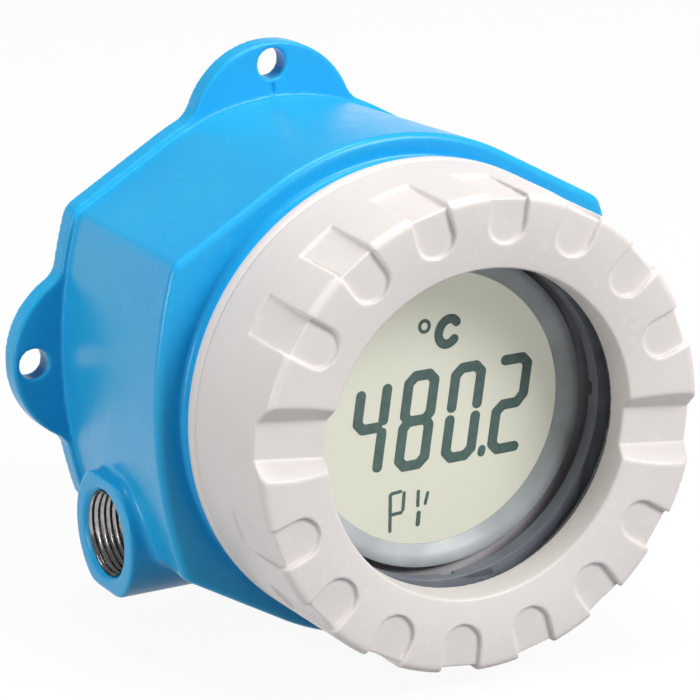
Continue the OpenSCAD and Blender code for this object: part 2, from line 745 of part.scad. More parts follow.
housing();
cover();
cover_o_ring();
window_glass();
window_seal();
window_clamp_ring();
display_bezel();
display_glass();
display_light_sheet();
display_contact_strips();
display_board();
display_back();
display_hub_clip();
display_carrier();
carrier_screws();
display_spacers();
electronics_case();
main_board();
board_parts();
case_lid();
case_screws();
terminal_block();
terminal_cages();
terminal_screws();
inner_ground_clamp();
inner_ground_screw();
outer_ground_clamp();
outer_ground_screw();
blind_plug();
blind_plug_seal();
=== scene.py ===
import json
import math

import bmesh
import bpy
import numpy as np
from mathutils import Matrix, Vector

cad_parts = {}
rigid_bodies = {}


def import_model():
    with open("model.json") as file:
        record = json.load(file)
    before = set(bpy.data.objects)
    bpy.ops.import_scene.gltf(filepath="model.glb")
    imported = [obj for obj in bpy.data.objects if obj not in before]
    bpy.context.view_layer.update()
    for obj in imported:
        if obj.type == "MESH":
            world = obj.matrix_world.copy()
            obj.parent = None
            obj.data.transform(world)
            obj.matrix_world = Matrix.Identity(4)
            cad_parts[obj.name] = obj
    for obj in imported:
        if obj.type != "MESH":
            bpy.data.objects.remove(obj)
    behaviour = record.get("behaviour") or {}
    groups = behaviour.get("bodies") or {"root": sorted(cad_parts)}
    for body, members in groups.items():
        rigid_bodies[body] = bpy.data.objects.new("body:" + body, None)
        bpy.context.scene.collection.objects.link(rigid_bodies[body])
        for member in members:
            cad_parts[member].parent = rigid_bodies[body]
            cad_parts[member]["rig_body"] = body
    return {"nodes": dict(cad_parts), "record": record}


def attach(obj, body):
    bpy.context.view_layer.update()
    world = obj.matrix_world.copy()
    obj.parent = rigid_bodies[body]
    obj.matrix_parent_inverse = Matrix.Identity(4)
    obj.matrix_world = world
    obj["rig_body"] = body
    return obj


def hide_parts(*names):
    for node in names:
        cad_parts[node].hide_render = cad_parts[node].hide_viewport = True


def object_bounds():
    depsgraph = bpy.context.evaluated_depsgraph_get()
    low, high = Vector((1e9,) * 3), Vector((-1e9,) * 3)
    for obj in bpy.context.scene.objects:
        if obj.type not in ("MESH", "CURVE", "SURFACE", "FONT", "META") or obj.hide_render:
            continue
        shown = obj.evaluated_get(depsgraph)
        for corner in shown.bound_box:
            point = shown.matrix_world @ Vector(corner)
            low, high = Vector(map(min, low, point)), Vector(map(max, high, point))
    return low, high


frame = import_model()
cad_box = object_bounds()

# Lengths are written in millimetres and turned into metres by MM.
# A place is (x to the right, up, out from the wall); Blender's -Y is out from the wall.
MM = 0.001


def place(x, up, out):
    return Vector((x, -out, up)) * MM


# Camera, as fitted to the photograph
CAMERA_AZIMUTH = -27.282
CAMERA_ELEVATION = 17.215
CAMERA_ROLL = -1.204
CAMERA_SHIFT = (-12.974, 9.941)
CAMERA_DISTANCE = 973.476
CAMERA_AIM_OUT = 70
FOCAL_PIXELS = 4316.595
PHOTO_PIXELS = 700
SENSOR = 36

# Driving sizes of the housing
HOUSING_DEPTH = 64.2
FRONT_EDGE_R = 1.6
BODY_FLAT = 58.8
SIDE_X = 59.7
SIDE_R = 122.8
RIDGE_R = 4
BACK_SHARE = 0.935
FLANGE_T = 5.5
FLANGE_STEP = 1.6
LUG_R = 21.2
LUG_CENTRE = 47.4
LUG_FILLET = 2.2
FLANGE_EDGE_R = 0.55
SEAM_FILLET = 0.3
NECK_FILLET = 1.2
BOSS_FILLET = 2.2
LUG_HOLE_R = 3.7
LUG_HOLE_AT = 63.4
LUG_MARK_LOW = 6
LUG_MARK_HALF_W = 0.5
LUG_MARK_HALF_LEN = 1.3
LUG_MARK_DEPTH = 0.7
NECK_R = 53.2
NECK_TOP = 69.7
COLLAR_R = 50.5
COLLAR_TOP = 81
ROOM_R = 46
FLOOR_T = 7
BOSS_X = 60
BOSS_LOW = 33.8
BOSS_OUT = 33.4
BOSS_R = 15.3
BOSS_FLAT = 13.6
BOSS_EDGE_R = 1.0
ENTRY_R = 9.25
ENTRY_LEN = 18
THREAD_OUT_R = 10
LEAD_IN = 1.2
ENTRY_PITCH = 1.5
ENTRY_THREAD = 0.75
COVER_PITCH = 2.0
COLLAR_THREAD = 0.9
COVER_THREAD = 0.8
THREAD_ROWS = 8
PAD_R = 7.68
PAD_X = 60.6
PAD_UP = 9
PAD_OUT = 33

# Driving sizes of the cover
COVER_R = 55
COVER_REAR = 70
COVER_FRONT = 106
SHOULDER_R = 2
FACE_FLAT_R = 42.7
FACE_DROP = 1.4
WINDOW_EDGE_R = 37.6
WINDOW_R = 37.2
WINDOW_DEEP = 7
LIP_T = 0.9
GLASS_R = 40.9
GLASS_REAR = 90.5
CLAMP_R = 42.5
CLAMP_REAR = 86.5
THREAD_BORE_R = 50.8
SEAL_BORE_R = 53.1
SEAL_BORE_LEN = 2.7
RIM_GROOVE_AT = 73.6
RIM_GROOVE = 0.45
POCKETS_PER_HALF = 7
POCKET_PITCH = 21.2
POCKET_HALF_W = 4.7
POCKET_START_R = 54.1
POCKET_FRONT_R = 53.1
POCKET_FACE_DEPTH = 1.3
POCKET_END_R = 43.3
POCKET_START = 87.5
NOTCH_TOP_W = 16.5
NOTCH_FLOOR_W = 8.5
NOTCH_DEPTH = 4.2
COVER_TURN = -7.5
COVER_TAPER = 0.4
EDGE_R = 0.35

# Driving sizes of the display
LCD_OUT = 82
BEZEL_R = 36.5
SKIRT_R = 44.6
SKIRT_OUT = 81.3
SKIRT_T = 1.3
DIGIT_PITCH = 11.9
DIGIT_H = 20.6
DIGIT_W = 6.5
DIGIT_SLANT = 0.165
DIGIT_UP = -2.1
STROKE = 2.45

# Edge radii of the CAD nodes that get a softened copy
SOFT_EDGES = {
    "outer_ground_screw": 0.25, "outer_ground_clamp": 0.25, "blind_plug": 0.4, "inner_ground_screw": 0.2,
    "inner_ground_clamp": 0.2, "display_bezel": 0.25, "window_clamp_ring": 0.25, "case_screws": 0.2,
    "display_carrier": 0.3, "electronics_case": 0.4, "case_lid": 0.3, "terminal_block": 0.25,
}

# Light: the share of its own light in the floor, the world's strength, and the mirror image of the glass
FLOOR_GLOW = 0.93
WORLD_LIGHT = 0.22
GLASS_MIRROR = 0.017


def mesh_object(name, verts, faces, body, material):
    """A new piece from points in millimetres in the place() order."""
    mesh = bpy.data.meshes.new(name)
    mesh.from_pydata([place(*v) for v in verts], [], faces)
    mesh.validate()
    return finish_piece(bpy.data.objects.new(name, mesh), body, material)


def finish_piece(obj, body, material):
    """Links a piece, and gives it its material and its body."""
    if obj.name not in bpy.context.scene.collection.objects:
        bpy.context.scene.collection.objects.link(obj)
    obj.data.materials.clear()
    obj.data.materials.append(material)
    for polygon in obj.data.polygons:
        polygon.use_smooth = True
    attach(obj, body)
    return obj


def clean(obj, merge=0.01):
    """Joins points that coincide and turns all faces outwards."""
    bm = bmesh.new()
    bm.from_mesh(obj.data)
    bmesh.ops.remove_doubles(bm, verts=bm.verts, dist=merge * MM)
    bmesh.ops.dissolve_degenerate(bm, edges=bm.edges, dist=merge * MM / 2)
    bmesh.ops.recalc_face_normals(bm, faces=bm.faces)
    bm.to_mesh(obj.data)
    bm.free()
    return obj


def apply_modifiers(obj):
    graph = bpy.context.evaluated_depsgraph_get()
    mesh = bpy.data.meshes.new_from_object(obj.evaluated_get(graph))
    old = obj.data
    obj.modifiers.clear()
    obj.data = mesh
    bpy.data.meshes.remove(old)
    return obj


# Materials


class Look:
    """A material under construction: its nodes, and short ways to add more."""

    def __init__(self, name, colour, roughness, metallic=0.0):
        self.material = bpy.data.materials.new(name)
        self.material.use_nodes = True
        self.nodes = self.material.node_tree.nodes
        self.links = self.material.node_tree.links
        self.shader = self.nodes["Principled BSDF"]
        self.shader.inputs["Base Color"].default_value = linear(colour)
        self.shader.inputs["Roughness"].default_value = roughness
        self.shader.inputs["Metallic"].default_value = metallic
        self.colour = linear(colour)
        self.roughness = roughness
        self.where = self.nodes.new("ShaderNodeTexCoord").outputs["Object"]

    def noise(self, size, detail=3.0):
        """Noise whose features are about size millimetres wide."""
        node = self.nodes.new("ShaderNodeTexNoise")
        node.inputs["Scale"].default_value = 1 / (size * MM)
        node.inputs["Detail"].default_value = detail
        self.links.new(self.where, node.inputs["Vector"])
        return node.outputs["Fac"]

    def calculate(self, operation, first, second):
        """A Math node on a socket and on a second socket or a number."""
        node = self.nodes.new("ShaderNodeMath")
        node.operation = operation
        self.links.new(first, node.inputs[0])
        if isinstance(second, (int, float)):
            node.inputs[1].default_value = second
        else:
            self.links.new(second, node.inputs[1])
        return node.outputs["Value"]

    def spread(self, value, low, high, start=0.3, end=0.7):
        """Maps a value between start and end to one between low and high."""
        node = self.nodes.new("ShaderNodeMapRange")
        node.inputs["From Min"].default_value = start
        node.inputs["From Max"].default_value = end
        node.inputs["To Min"].default_value = low
        node.inputs["To Max"].default_value = high
        self.links.new(value, node.inputs["Value"])
        return node.outputs["Result"]

    def tint(self, value, other, start=0.35, end=0.65):
        """Mixes the base colour with another where value is high."""
        mix = self.nodes.new("ShaderNodeMix")
        mix.data_type = "RGBA"
        mix.inputs["A"].default_value = self.colour
        mix.inputs["B"].default_value = linear(other)
        old = self.shader.inputs["Base Color"].links
        if old:
            self.links.new(old[0].from_socket, mix.inputs["A"])
        self.links.new(self.spread(value, 0, 1, start, end), mix.inputs["Factor"])
        self.links.new(mix.outputs["Result"], self.shader.inputs["Base Color"])

    def vary_roughness(self, value, amount):
        rough = self.spread(value, self.roughness - amount, self.roughness + amount)
        self.links.new(rough, self.shader.inputs["Roughness"])

    def bump(self, value, height, strength=1.0):
        """Bump whose full height is in millimetres."""
        node = self.nodes.new("ShaderNodeBump")
        node.inputs["Distance"].default_value = height * MM
        node.inputs["Strength"].default_value = strength
        old = self.shader.inputs["Normal"].links
        if old:
            self.links.new(old[0].from_socket, node.inputs["Normal"])
        self.links.new(value, node.inputs["Height"])
        self.links.new(node.outputs["Normal"], self.shader.inputs["Normal"])

    def inside(self, radius, start):
        """One within a radius of the cover's axis and beyond a distance from the wall, in millimetres."""
        flat = self.nodes.new("ShaderNodeVectorMath")
        flat.operation = "MULTIPLY"
        flat.inputs[1].default_value = (1, 0, 1)
        self.links.new(self.where, flat.inputs[0])
        length = self.nodes.new("ShaderNodeVectorMath")
        length.operation = "LENGTH"
        self.links.new(flat.outputs["Vector"], length.inputs[0])
        split = self.nodes.new("ShaderNodeSeparateXYZ")
        self.links.new(self.where, split.inputs["Vector"])
        near = self.calculate("LESS_THAN", length.outputs["Value"], radius * MM)
        ahead = self.calculate("LESS_THAN", split.outputs["Y"], -start * MM)
        return self.calculate("MULTIPLY", near, ahead)


def linear(colour):
    """Linear values of an sRGB colour that is given from 0 to 255."""
    def one(v):
        v /= 255
        return v / 12.92 if v <= 0.04045 else ((v + 0.055) / 1.055) ** 2.4
    return tuple(one(v) for v in colour) + (1.0,)


def blue_paint():
    look = Look("blue_powder_coat", (38, 170, 224), 0.3)
    look.tint(look.noise(40, 2), (34, 165, 224))
    look.tint(look.noise(2.5, 4), (44, 174, 231), 0.55, 0.8)
    # Inside the room the paint turns to a darker grey: painted shade for the deep room behind the display,
    # partly the bare metal inside the casting.
    look.tint(look.inside(ROOM_R + 0.4, FLOOR_T - 1), (112, 116, 120), 0, 1)
    look.vary_roughness(look.noise(6, 3), 0.04)
    look.bump(look.noise(1.1, 2), 0.012, 0.4)
    look.shader.inputs["Specular IOR Level"].default_value = 0.26
    return look.material


def grey_paint():
    look = Look("light_grey_powder_coat", (224, 218, 214), 0.4)
    look.tint(look.noise(30, 2), (220, 214, 211))
    look.tint(look.noise(1.8, 4), (228, 222, 219), 0.55, 0.8)
    look.vary_roughness(look.noise(5, 3), 0.04)
    look.bump(look.noise(0.9, 2), 0.01, 0.4)
    look.shader.inputs["Specular IOR Level"].default_value = 0.45
    return look.material


def metal(name, colour, roughness, grain):
    look = Look(name, colour, roughness, 1.0)
    darker = tuple(v * 0.86 for v in colour)
    look.tint(look.noise(grain * 12, 3), darker)
    look.vary_roughness(look.noise(grain * 4, 4), 0.08)
    look.bump(look.noise(grain, 3), 0.01, 0.4)
    return look.material


def plastic(name, colour, roughness, grain=0.6, relief=0.02):
    look = Look(name, colour, roughness)
    lighter = tuple(min(255, v * 1.1 + 4) for v in colour)
    look.tint(look.noise(grain * 20, 2), lighter)
    look.vary_roughness(look.noise(grain * 6, 3), 0.06)
    look.bump(look.noise(grain, 3), relief, 0.6)
    return look.material


def circuit_board():
    look = Look("green_solder_mask", (22, 84, 52), 0.35)
    brick = look.nodes.new("ShaderNodeTexBrick")
    brick.inputs["Scale"].default_value = 1 / (4 * MM)
    brick.inputs["Mortar Size"].default_value = 0.03
    mapping = look.nodes.new("ShaderNodeMapping")
    mapping.inputs["Rotation"].default_value = (math.radians(90), 0, 0)
    look.links.new(look.where, mapping.inputs["Vector"])
    look.links.new(mapping.outputs["Vector"], brick.inputs["Vector"])
    look.tint(brick.outputs["Fac"], (44, 118, 74), 0.2, 0.8)
    look.tint(look.noise(5, 3), (18, 72, 46))
    look.bump(brick.outputs["Fac"], 0.03, 0.5)
    return look.material


def lcd_face():
    look = Look("liquid_crystal_face", (196, 196, 181), 0.42)
    look.tint(look.noise(35, 1), (200, 200, 187))
    look.tint(look.noise(0.3, 2), (193, 193, 177), 0.5, 0.9)
    look.vary_roughness(look.noise(8, 2), 0.03)
    look.bump(look.noise(0.2, 2), 0.004, 0.4)
    # The face glows a little: painted light that lifts it out of the shade of the window's well, with a
    # darker base colour to match.
    look.shader.inputs["Emission Color"].default_value = linear((228, 229, 211))
    look.shader.inputs["Emission Strength"].default_value = 0.33
    return look.material


def lcd_segment():
    look = Look("liquid_crystal_segment", (74, 98, 92), 0.4)
    look.tint(look.noise(1.5, 2), (84, 110, 104))
    look.vary_roughness(look.noise(2, 2), 0.03)
    return look.material


def clear_glass():
    """Clear for the lamps and the eye, with the mirror image that glass gives at its angle."""
    look = Look("clear_window_glass", (240, 246, 244), 0.03)
    look.vary_roughness(look.noise(25, 2), 0.01)
    clear = look.nodes.new("ShaderNodeBsdfTransparent")
    clear.inputs["Color"].default_value = linear((255, 255, 255))
    facing = look.nodes.new("ShaderNodeLayerWeight")
    edge = look.calculate("POWER", facing.outputs["Facing"], 5)
    mix = look.nodes.new("ShaderNodeMixShader")
    output = look.nodes["Material Output"]
    look.links.new(look.spread(edge, GLASS_MIRROR, 1, 0, 1), mix.inputs["Fac"])
    look.links.new(clear.outputs["BSDF"], mix.inputs[1])
    look.links.new(look.shader.outputs["BSDF"], mix.inputs[2])
    look.links.new(mix.outputs["Shader"], output.inputs["Surface"])
    look.shader.inputs["Base Color"].default_value = (0.0, 0.0, 0.0, 1.0)
    return look.material


# Looks. A plastic is written as colour, roughness, grain and relief, a metal as colour, roughness and grain.
BLUE = blue_paint()
GREY = grey_paint()
GLASS = clear_glass()
LCD = lcd_face()
SEGMENT = lcd_segment()
BOARD = circuit_board()
RUBBER = plastic("black_rubber", (26, 27, 28), 0.6, 0.8, 0.03)
GASKET = plastic("window_gasket", (72, 78, 88), 0.4, 0.6, 0.02)
PINK_RUBBER = plastic("contact_rubber", (205, 125, 135), 0.55, 0.5, 0.02)
ANODISED = plastic("anodised_ring", (116, 121, 131), 0.42, 0.4, 0.01)
SKIRT_GREY = plastic("skirt_plastic", (172, 169, 172), 0.45)
BEZEL_GREY = plastic("bezel_plastic", (172, 178, 180), 0.4)
WHITE_PLASTIC = plastic("light_sheet", (238, 238, 230), 0.35, 0.3, 0.005)
BLACK_PLASTIC = plastic("dark_moulded_plastic", (44, 47, 50), 0.45)
GREEN_PLASTIC = plastic("green_moulded_plastic", (62, 128, 90), 0.42)
PART_PLASTIC = plastic("component_plastic", (38, 38, 41), 0.4, 0.3, 0.01)
STEEL = metal("plated_steel", (196, 198, 201), 0.28, 0.2)
THREAD_STEEL = metal("cut_aluminium", (178, 176, 174), 0.22, 0.15)
BRASS = metal("turned_brass", (196, 158, 88), 0.3, 0.2)
ALUMINIUM = metal("turned_aluminium", (184, 187, 190), 0.3, 0.2)

SLOT_LOOKS = {
    "blue_paint": BLUE, "grey_paint": GREY, "black_rubber": RUBBER, "clear_glass": GLASS,
    "dark_metal": ANODISED, "grey_plastic": BEZEL_GREY, "display_face": LCD,
    "white_plastic": WHITE_PLASTIC, "pink_rubber": PINK_RUBBER, "circuit_board": BOARD,
    "black_plastic": BLACK_PLASTIC, "plated_steel": STEEL, "brass": BRASS,
    "board_part": PART_PLASTIC, "green_plastic": GREEN_PLASTIC, "bare_aluminium": ALUMINIUM,
}
NODE_SLOT = {part["node"]: part["material_slot"] for part in frame["record"]["subparts"]}
for node_name, node_object in frame["nodes"].items():
    node_object.data.materials.clear()
    node_object.data.materials.append(SLOT_LOOKS[NODE_SLOT[node_name]])
frame["nodes"]["window_seal"].data.materials[0] = GASKET


def body_of(node):
    return frame["nodes"][node]["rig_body"]


def softened(node, width):
    """A copy of a CAD node with its edges rounded, which stands for the node."""
    source = frame["nodes"][node]
    obj = bpy.data.objects.new(node + "_soft", source.data.copy())
    bpy.context.scene.collection.objects.link(obj)
    clean(obj, 0.002)
    bevel = obj.modifiers.new("edges", "BEVEL")
    bevel.width = width * MM
    bevel.segments = 2
    bevel.limit_method = "ANGLE"
    bevel.angle_limit = math.radians(40)
    bevel.use_clamp_overlap = True
    weighted = obj.modifiers.new("normals", "WEIGHTED_NORMAL")
    weighted.keep_sharp = True
    apply_modifiers(obj)
    finish_piece(obj, body_of(node), SLOT_LOOKS[NODE_SLOT[node]])
    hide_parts(node)
    return obj


# Housing


def arc(cx, cy, r, a0, a1, steps):
    angles = [math.radians(a0 + (a1 - a0) * i / steps) for i in range(steps + 1)]
    return [(cx + r * math.cos(a), cy + r * math.sin(a)) for a in angles]


def body_outline(grow):
    """Outline of the body, grown on all sides."""
    off = SIDE_R - SIDE_X
    turn = 60 - math.degrees(math.acos((BODY_FLAT - RIDGE_R + off / 2) / (SIDE_R - RIDGE_R)))
    x = (SIDE_R - RIDGE_R) * math.cos(math.radians(turn)) - off
    y = (SIDE_R - RIDGE_R) * math.sin(math.radians(turn))
    side, ridge, flat = SIDE_R + grow, RIDGE_R + grow, BODY_FLAT + grow
    points = arc(-off, 0, side, -turn, turn, 40) + arc(x, y, ridge, turn, 60, 12)
    points += arc(0, 0, flat, 60, 120, 60) + arc(-x, y, ridge, 120, 180 - turn, 12)
    points += arc(off, 0, side, 180 - turn, 180 + turn, 40) + arc(-x, -y, ridge, 180 + turn, 240, 12)
    points += arc(0, 0, flat, 240, 300, 60) + arc(x, -y, ridge, 300, 360 - turn, 12)
    return points


def loft(rings):
    """Vertices and faces through closed rings of equal counts, open at both ends."""
    count = len(rings[0])
    verts = [p for ring in rings for p in ring]
    faces = []
    for k in range(len(rings) - 1):
        for i in range(count):
            j = (i + 1) % count
            faces.append((k * count + i, k * count + j, (k + 1) * count + j, (k + 1) * count + i))
    return verts, faces


# Skins: a field is negative inside the solid and about as large as the distance to its surface


def both(a, b, r=0.0):
    """What two fields share, with outer edges rounded by r."""
    if not r:
        return np.maximum(a, b)
    return np.minimum(np.maximum(a, b), -r) + np.hypot(np.maximum(a + r, 0), np.maximum(b + r, 0))


def either(a, b, r):
    """Two fields together, with the corner between them filled by r."""
    return np.maximum(np.minimum(a, b), r) - np.hypot(np.maximum(r - a, 0), np.maximum(r - b, 0))


def grid(low, high, step):
    """Open coordinate arrays in millimetres along the three directions."""
    axes = [np.arange(a, b + s, s, dtype=np.float32) for a, b, s in zip(low, high, step)]
    return axes[0][:, None, None], axes[1][None, :, None], axes[2][None, None, :]


def surface(field, low, step):
    """Vertices and four-sided faces where the field changes sign."""
    inside = field < 0
    cells = [slice(None, -1), slice(1, None)]
    corners = [(i, j, k) for i in (0, 1) for j in (0, 1) for k in (0, 1)]
    full = np.ones([n - 1 for n in field.shape], bool)
    none = full.copy()
    for i, j, k in corners:
        part = inside[cells[i], cells[j], cells[k]]
        full &= part
        none &= ~part
    active = ~(full | none)
    at = np.argwhere(active)
    number = np.full(active.shape, -1, np.int64)
    number[active] = np.arange(len(at))
    total = np.zeros((len(at), 3))
    count = np.zeros(len(at))
    for a in corners:
        for axis in range(3):
            if a[axis]:
                continue
            b = tuple(v + (n == axis) for n, v in enumerate(a))
            va = field[tuple((at + a).T)].astype(float)
            vb = field[tuple((at + b).T)].astype(float)
            cross = (va < 0) != (vb < 0)
            share = np.where(cross, va / np.where(cross, va - vb, 1), 0)
            spot = np.array(a, float) + share[:, None] * (np.array(b) - np.array(a))
            total += spot * cross[:, None]
            count += cross
    verts = np.array(low) + (at + total / count[:, None]) * np.array(step)
    faces = []
    for axis in range(3):
        one, two = (axis + 1) % 3, (axis + 2) % 3
        first = np.moveaxis(inside, axis, 0)
        change = np.argwhere((first[:-1] != first[1:])[:, 1:-1, 1:-1])
        node = np.zeros_like(change)
        node[:, axis] = change[:, 0]
        rest = [n for n in range(3) if n != axis]
        node[:, rest[0]], node[:, rest[1]] = change[:, 1] + 1, change[:, 2] + 1
        ring = []
        for da, db in ((0, 0), (-1, 0), (-1, -1), (0, -1)):
            cell = node.copy()
            cell[:, one] += da
            cell[:, two] += db
            ring.append(number[tuple(cell.T)])
        ring = np.stack(ring, axis=1)
        leaving = inside[tuple(node.T)]
        ring[~leaving] = ring[~leaving][:, ::-1]
        faces.append(ring)
    return verts, np.concatenate(faces)


def skin(name, field, low, step, body, material, turn=0.0):
    """A piece whose surface is where the field is zero, turned about the cover's axis."""
    verts, faces = surface(field, low, step)
    c, s = math.cos(math.radians(turn)), math.sin(math.radians(turn))
    x, up, out = verts.T
    places = np.stack((x * c - up * s, -out, x * s + up * c), axis=1) * MM
    mesh = bpy.data.meshes.new(name)
    mesh.from_pydata(places.tolist(), [], faces.tolist())
    mesh.validate()
    obj = finish_piece(bpy.data.objects.new(name, mesh), body, material)
    clean(obj, 0.001)
    even = obj.modifiers.new("normals", "WEIGHTED_NORMAL")
    even.mode = "FACE_AREA"
    return apply_modifiers(obj)


def outline_table(points, reach, step):
    """Distance from a convex outline on a square grid, from the lines along its edges."""
    axis = np.arange(-reach, reach + step, step, dtype=np.float32)
    table = np.full((len(axis), len(axis)), -1e6, np.float32)
    for p, q in zip(points, points[1:] + points[:1]):
        length = math.dist(p, q)
        if length < 1e-6:
            continue
        nx, ny = (q[1] - p[1]) / length, (p[0] - q[0]) / length
        table = np.maximum(table, axis[:, None] * nx + axis[None, :] * ny - (p[0] * nx + p[1] * ny))
    return axis, table


def between(table, places, start, step, axis):
    """Values of a table between its rows."""
    index = np.clip((places - start) / step, 0, table.shape[axis] - 2)
    low = index.astype(int)
    share = (index - low).astype(np.float32)
    share = share[:, None] if axis == 0 else share[None, :]
    return np.take(table, low, axis) * (1 - share) + np.take(table, low + 1, axis) * share


def body_field(x, up, out):
    reach, step = 80, 0.25
    axis, table = outline_table(body_outline(0), reach, step)
    sides = np.empty(np.broadcast_shapes(x.shape, up.shape, out.shape), np.float32)
    for k, z in enumerate(out.ravel()):
        share = BACK_SHARE + (1 - BACK_SHARE) * min(1, max(0, z) / (HOUSING_DEPTH - FRONT_EDGE_R))
        rows = between(table, x.ravel() / share, axis[0], step, 0)
        sides[:, :, k] = between(rows, up.ravel() / share, axis[0], step, 1) * share
    return both(sides, out - HOUSING_DEPTH, FRONT_EDGE_R)


def flange_field(x, up, out):
    outline = [(px * BACK_SHARE, py * BACK_SHARE) for px, py in body_outline(FLANGE_STEP / BACK_SHARE)]
    reach, step = 80, 0.25
    axis, table = outline_table(outline, reach, step)
    flat = between(between(table, x.ravel(), axis[0], step, 0), up.ravel(), axis[0], step, 1)[:, :, None]
    for lug_x, lug_up in ((0, LUG_CENTRE), (-LUG_CENTRE, 0)):
        flat = either(flat, np.hypot(x - lug_x, up - lug_up) - LUG_R, LUG_FILLET)
    return both(flat, out - FLANGE_T, FLANGE_EDGE_R)


def housing_field(x, up, out):
    field = body_field(x, up, out)
    neck = both(np.hypot(x, up) - NECK_R, out - NECK_TOP, EDGE_R)
    field = either(field, both(neck, BOSS_OUT - out), NECK_FILLET)
    across = np.hypot(up + BOSS_LOW, out - BOSS_OUT)
    section = both(across - BOSS_R, np.abs(up + BOSS_LOW) - BOSS_FLAT, BOSS_EDGE_R)
    field = either(field, both(section, np.abs(x) - BOSS_X, FLANGE_EDGE_R), BOSS_FILLET)
    pad = both(np.hypot(up - PAD_UP, out - PAD_OUT) - PAD_R, x - PAD_X, EDGE_R)
    field = either(field, both(pad, -x), NECK_FILLET)
    field = either(field, flange_field(x, up, out), SEAM_FILLET)
    field = both(field, -out, EDGE_R)
    field = both(field, np.minimum(ROOM_R - np.hypot(x, up), out - FLOOR_T))
    for hole_x, hole_up in ((0, LUG_HOLE_AT), (-LUG_HOLE_AT, 0)):
        field = both(field, LUG_HOLE_R - np.hypot(x - hole_x, up - hole_up), EDGE_R)
    mark = both(np.abs(x) - LUG_MARK_HALF_W, np.abs(up - LUG_HOLE_AT + LUG_MARK_LOW) - LUG_MARK_HALF_LEN)
    field = both(field, -both(mark, np.abs(out - FLANGE_T) - LUG_MARK_DEPTH))
    bore = np.where(np.abs(x) < BOSS_X - ENTRY_LEN, THREAD_OUT_R - 1, THREAD_OUT_R)
    bore = bore + np.maximum(np.abs(x) - BOSS_X + LEAD_IN, 0)
    return both(field, bore - across + np.where(np.abs(x) < ROOM_R / 2, -ROOM_R, 0))


def housing_skin():
    step = (0.5, 0.5, 0.5)
    low = (-LUG_HOLE_AT - 6.3, -BODY_FLAT - 1.5, -1.25)
    high = (PAD_X + 1.5, LUG_HOLE_AT + 6.3, NECK_TOP + 1.5)
    field = housing_field(*grid(low, high, step))
    piece = skin("housing_casting", field, low, step, "housing_body", BLUE)
    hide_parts("housing")


def lathe(name, profile, body, material, steps=240, closed=False):
    """A turned piece about the cover's axis, from (radius, out) points."""
    rings = []
    for r, out in profile:
        rings.append([(r * math.cos(2 * math.pi * i / steps), r * math.sin(2 * math.pi * i / steps), out)
                      for i in range(steps)])
    if closed:
        rings.append(rings[0])
    verts, faces = loft(rings)
    obj = mesh_object(name, verts, faces, body, material)
    return clean(obj)


def thread(name, r, depth, start, length, pitch, body, material, along=None, steps=144):
    """A helical thread whose crest is at r. A negative depth cuts outwards, and along maps its places."""
    rows = int(length / pitch * THREAD_ROWS)
    along = along or (lambda x, y, z: (x, y, z))
    verts, faces = [], []
    for k in range(rows + 1):
        z = length * k / rows
        fade = min(1, z / pitch, (length - z) / pitch)
        for i in range(steps):
            a = 2 * math.pi * i / steps
            phase = (z / pitch - i / steps) % 1
            rise = abs(2 * phase - 1)
            radius = r - depth * (1 - rise * fade)
            verts.append(along(radius * math.cos(a), radius * math.sin(a), start + z))
    for k in range(rows):
        for i in range(steps):
            j = (i + 1) % steps
            faces.append((k * steps + i, k * steps + j, (k + 1) * steps + j, (k + 1) * steps + i))
    return clean(mesh_object(name, verts, faces, body, material))


def housing_details():
    core_r, chamfer = COLLAR_R - COLLAR_THREAD, 0.6
    collar = [(ROOM_R, NECK_TOP - 1), (core_r, NECK_TOP - 1), (core_r, COLLAR_TOP - chamfer),
              (core_r - chamfer, COLLAR_TOP), (ROOM_R, COLLAR_TOP)]
    lathe("housing_collar", collar, "housing_body", ANODISED, closed=True)
    thread("collar_thread", COLLAR_R, COLLAR_THREAD, NECK_TOP + 2.6, COLLAR_TOP - NECK_TOP - 3, COVER_PITCH,
           "housing_body", THREAD_STEEL)
    for side, name in ((-1, "left"), (1, "right")):
        thread(name + "_entry_thread", ENTRY_R, -ENTRY_THREAD, BOSS_X - ENTRY_LEN, ENTRY_LEN - 0.8,
               ENTRY_PITCH, "housing_body", THREAD_STEEL,
               along=lambda x, y, z, s=side: (s * z, -BOSS_LOW + y, BOSS_OUT + x * s))


# Cover


def cover_field(x, up, out):
    """The cover in front of its rim groove, before it is turned."""
    r = np.hypot(x, up)
    side = r - COVER_R + COVER_TAPER * (out - COVER_REAR) / (COVER_FRONT - COVER_REAR)
    field = both(side, out - COVER_FRONT, SHOULDER_R)
    field = both(field, (r - COVER_R + RIM_GROOVE - out + RIM_GROOVE_AT) * math.sqrt(0.5))
    fall = FACE_DROP / (FACE_FLAT_R - WINDOW_EDGE_R)
    field = both(field, (out - COVER_FRONT + (FACE_FLAT_R - r) * fall) / math.hypot(1, fall), SHOULDER_R)
    edge_out = COVER_FRONT - FACE_DROP
    wall = WINDOW_EDGE_R + (WINDOW_EDGE_R - WINDOW_R) * (out - edge_out) / WINDOW_DEEP
    field = both(field, wall - r, EDGE_R)
    seat_out = edge_out - WINDOW_DEEP - LIP_T
    for bore, top in ((GLASS_R, seat_out), (CLAMP_R, GLASS_REAR), (THREAD_BORE_R + 0.9, CLAMP_REAR - 0.5)):
        field = both(field, np.minimum(bore - r, top - out))
    return both(field, RIM_GROOVE_AT - out)


